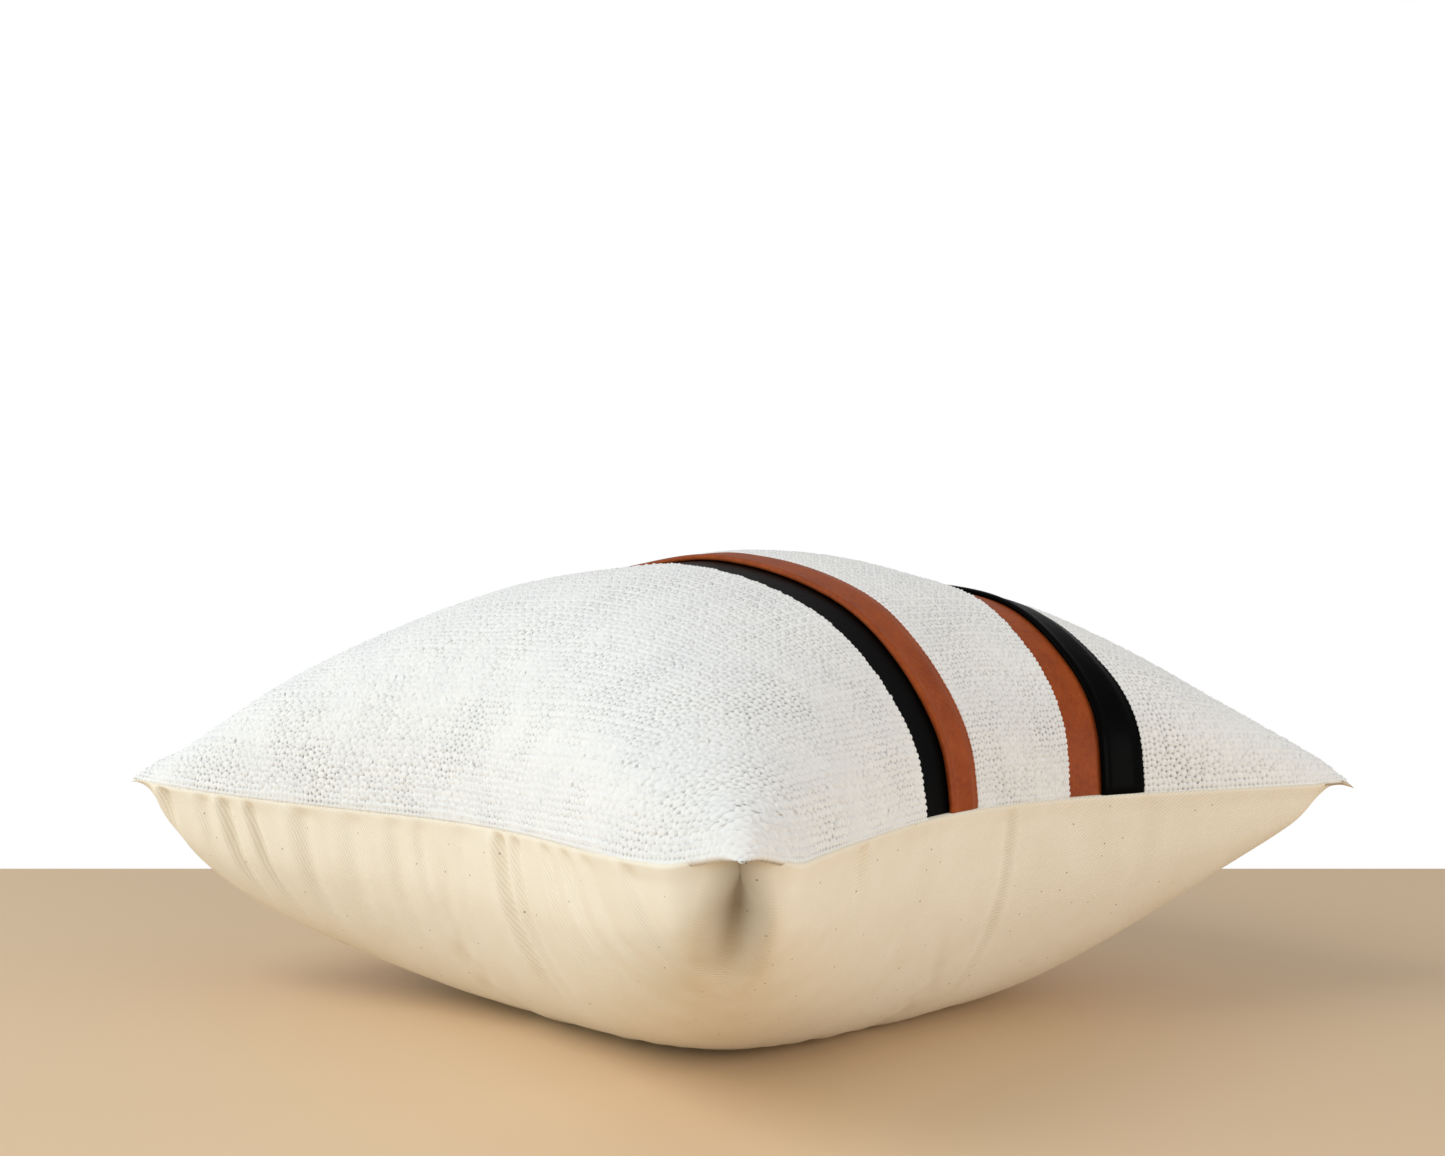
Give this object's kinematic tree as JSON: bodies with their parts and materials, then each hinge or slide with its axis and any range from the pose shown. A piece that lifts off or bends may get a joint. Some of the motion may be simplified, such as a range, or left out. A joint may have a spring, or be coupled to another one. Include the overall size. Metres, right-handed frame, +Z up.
{
  "type": "throw pillow",
  "caption": "Square stuffed throw pillow with a woven front crossed by inserted leather strips and folded leather flanges, a canvas back and a zipped side seam.",
  "frame": {"origin": "centre of the pillow's outline, on the surface it lies on", "axes": "+Z up through the pillow's thickness, towards the woven front; +Y along the leather stripes; +X across them, towards the zipped side"},
  "size_m": [0.418, 0.4182, 0.213],
  "materials": {
    "woven_ivory": "chunky basket weave, matt",
    "black_leather": "smooth, soft sheen",
    "tan_leather": "smooth, slightly mottled",
    "cream_canvas": "unbleached twill with dark flecks",
    "insert_ticking": "plain white cotton",
    "polyester_fibre": "loose fibre",
    "zip_tape": "woven tape",
    "zip_nylon": "satin",
    "zip_metal": "satin nickel plate"
  },
  "bodies": {
    "cushion": {"woven_panel_left": "woven_ivory", "black_strip": "black_leather", "tan_flange": "tan_leather", "woven_panel_centre": "woven_ivory", "tan_strip": "tan_leather", "black_flange": "black_leather", "woven_panel_right": "woven_ivory", "canvas_back": "cream_canvas", "insert_top": "insert_ticking", "insert_bottom": "insert_ticking", "insert_filling": "polyester_fibre", "zip_tape_front": "zip_tape", "zip_tape_back": "zip_tape", "zip_coil_front": "zip_nylon", "zip_coil_back": "zip_nylon", "zip_top_stop_front": "zip_metal", "zip_top_stop_back": "zip_metal", "zip_bottom_stop": "zip_metal"},
    "slider": {"zip_slider": "zip_metal"},
    "pull": {"zip_pull": "zip_metal"}
  },
  "joints": [
    {"name": "slider_slide", "type": "slide", "parent": "cushion", "child": "slider", "axis": [0, 1, 0], "range_m": [0, 0.255]},
    {"name": "pull_hinge", "type": "hinge", "parent": "slider", "child": "pull", "pos_m": [0.18735, -0.1275, 0.1], "axis": [0, 0, -1], "range_deg": [0, 170]}
  ]
}
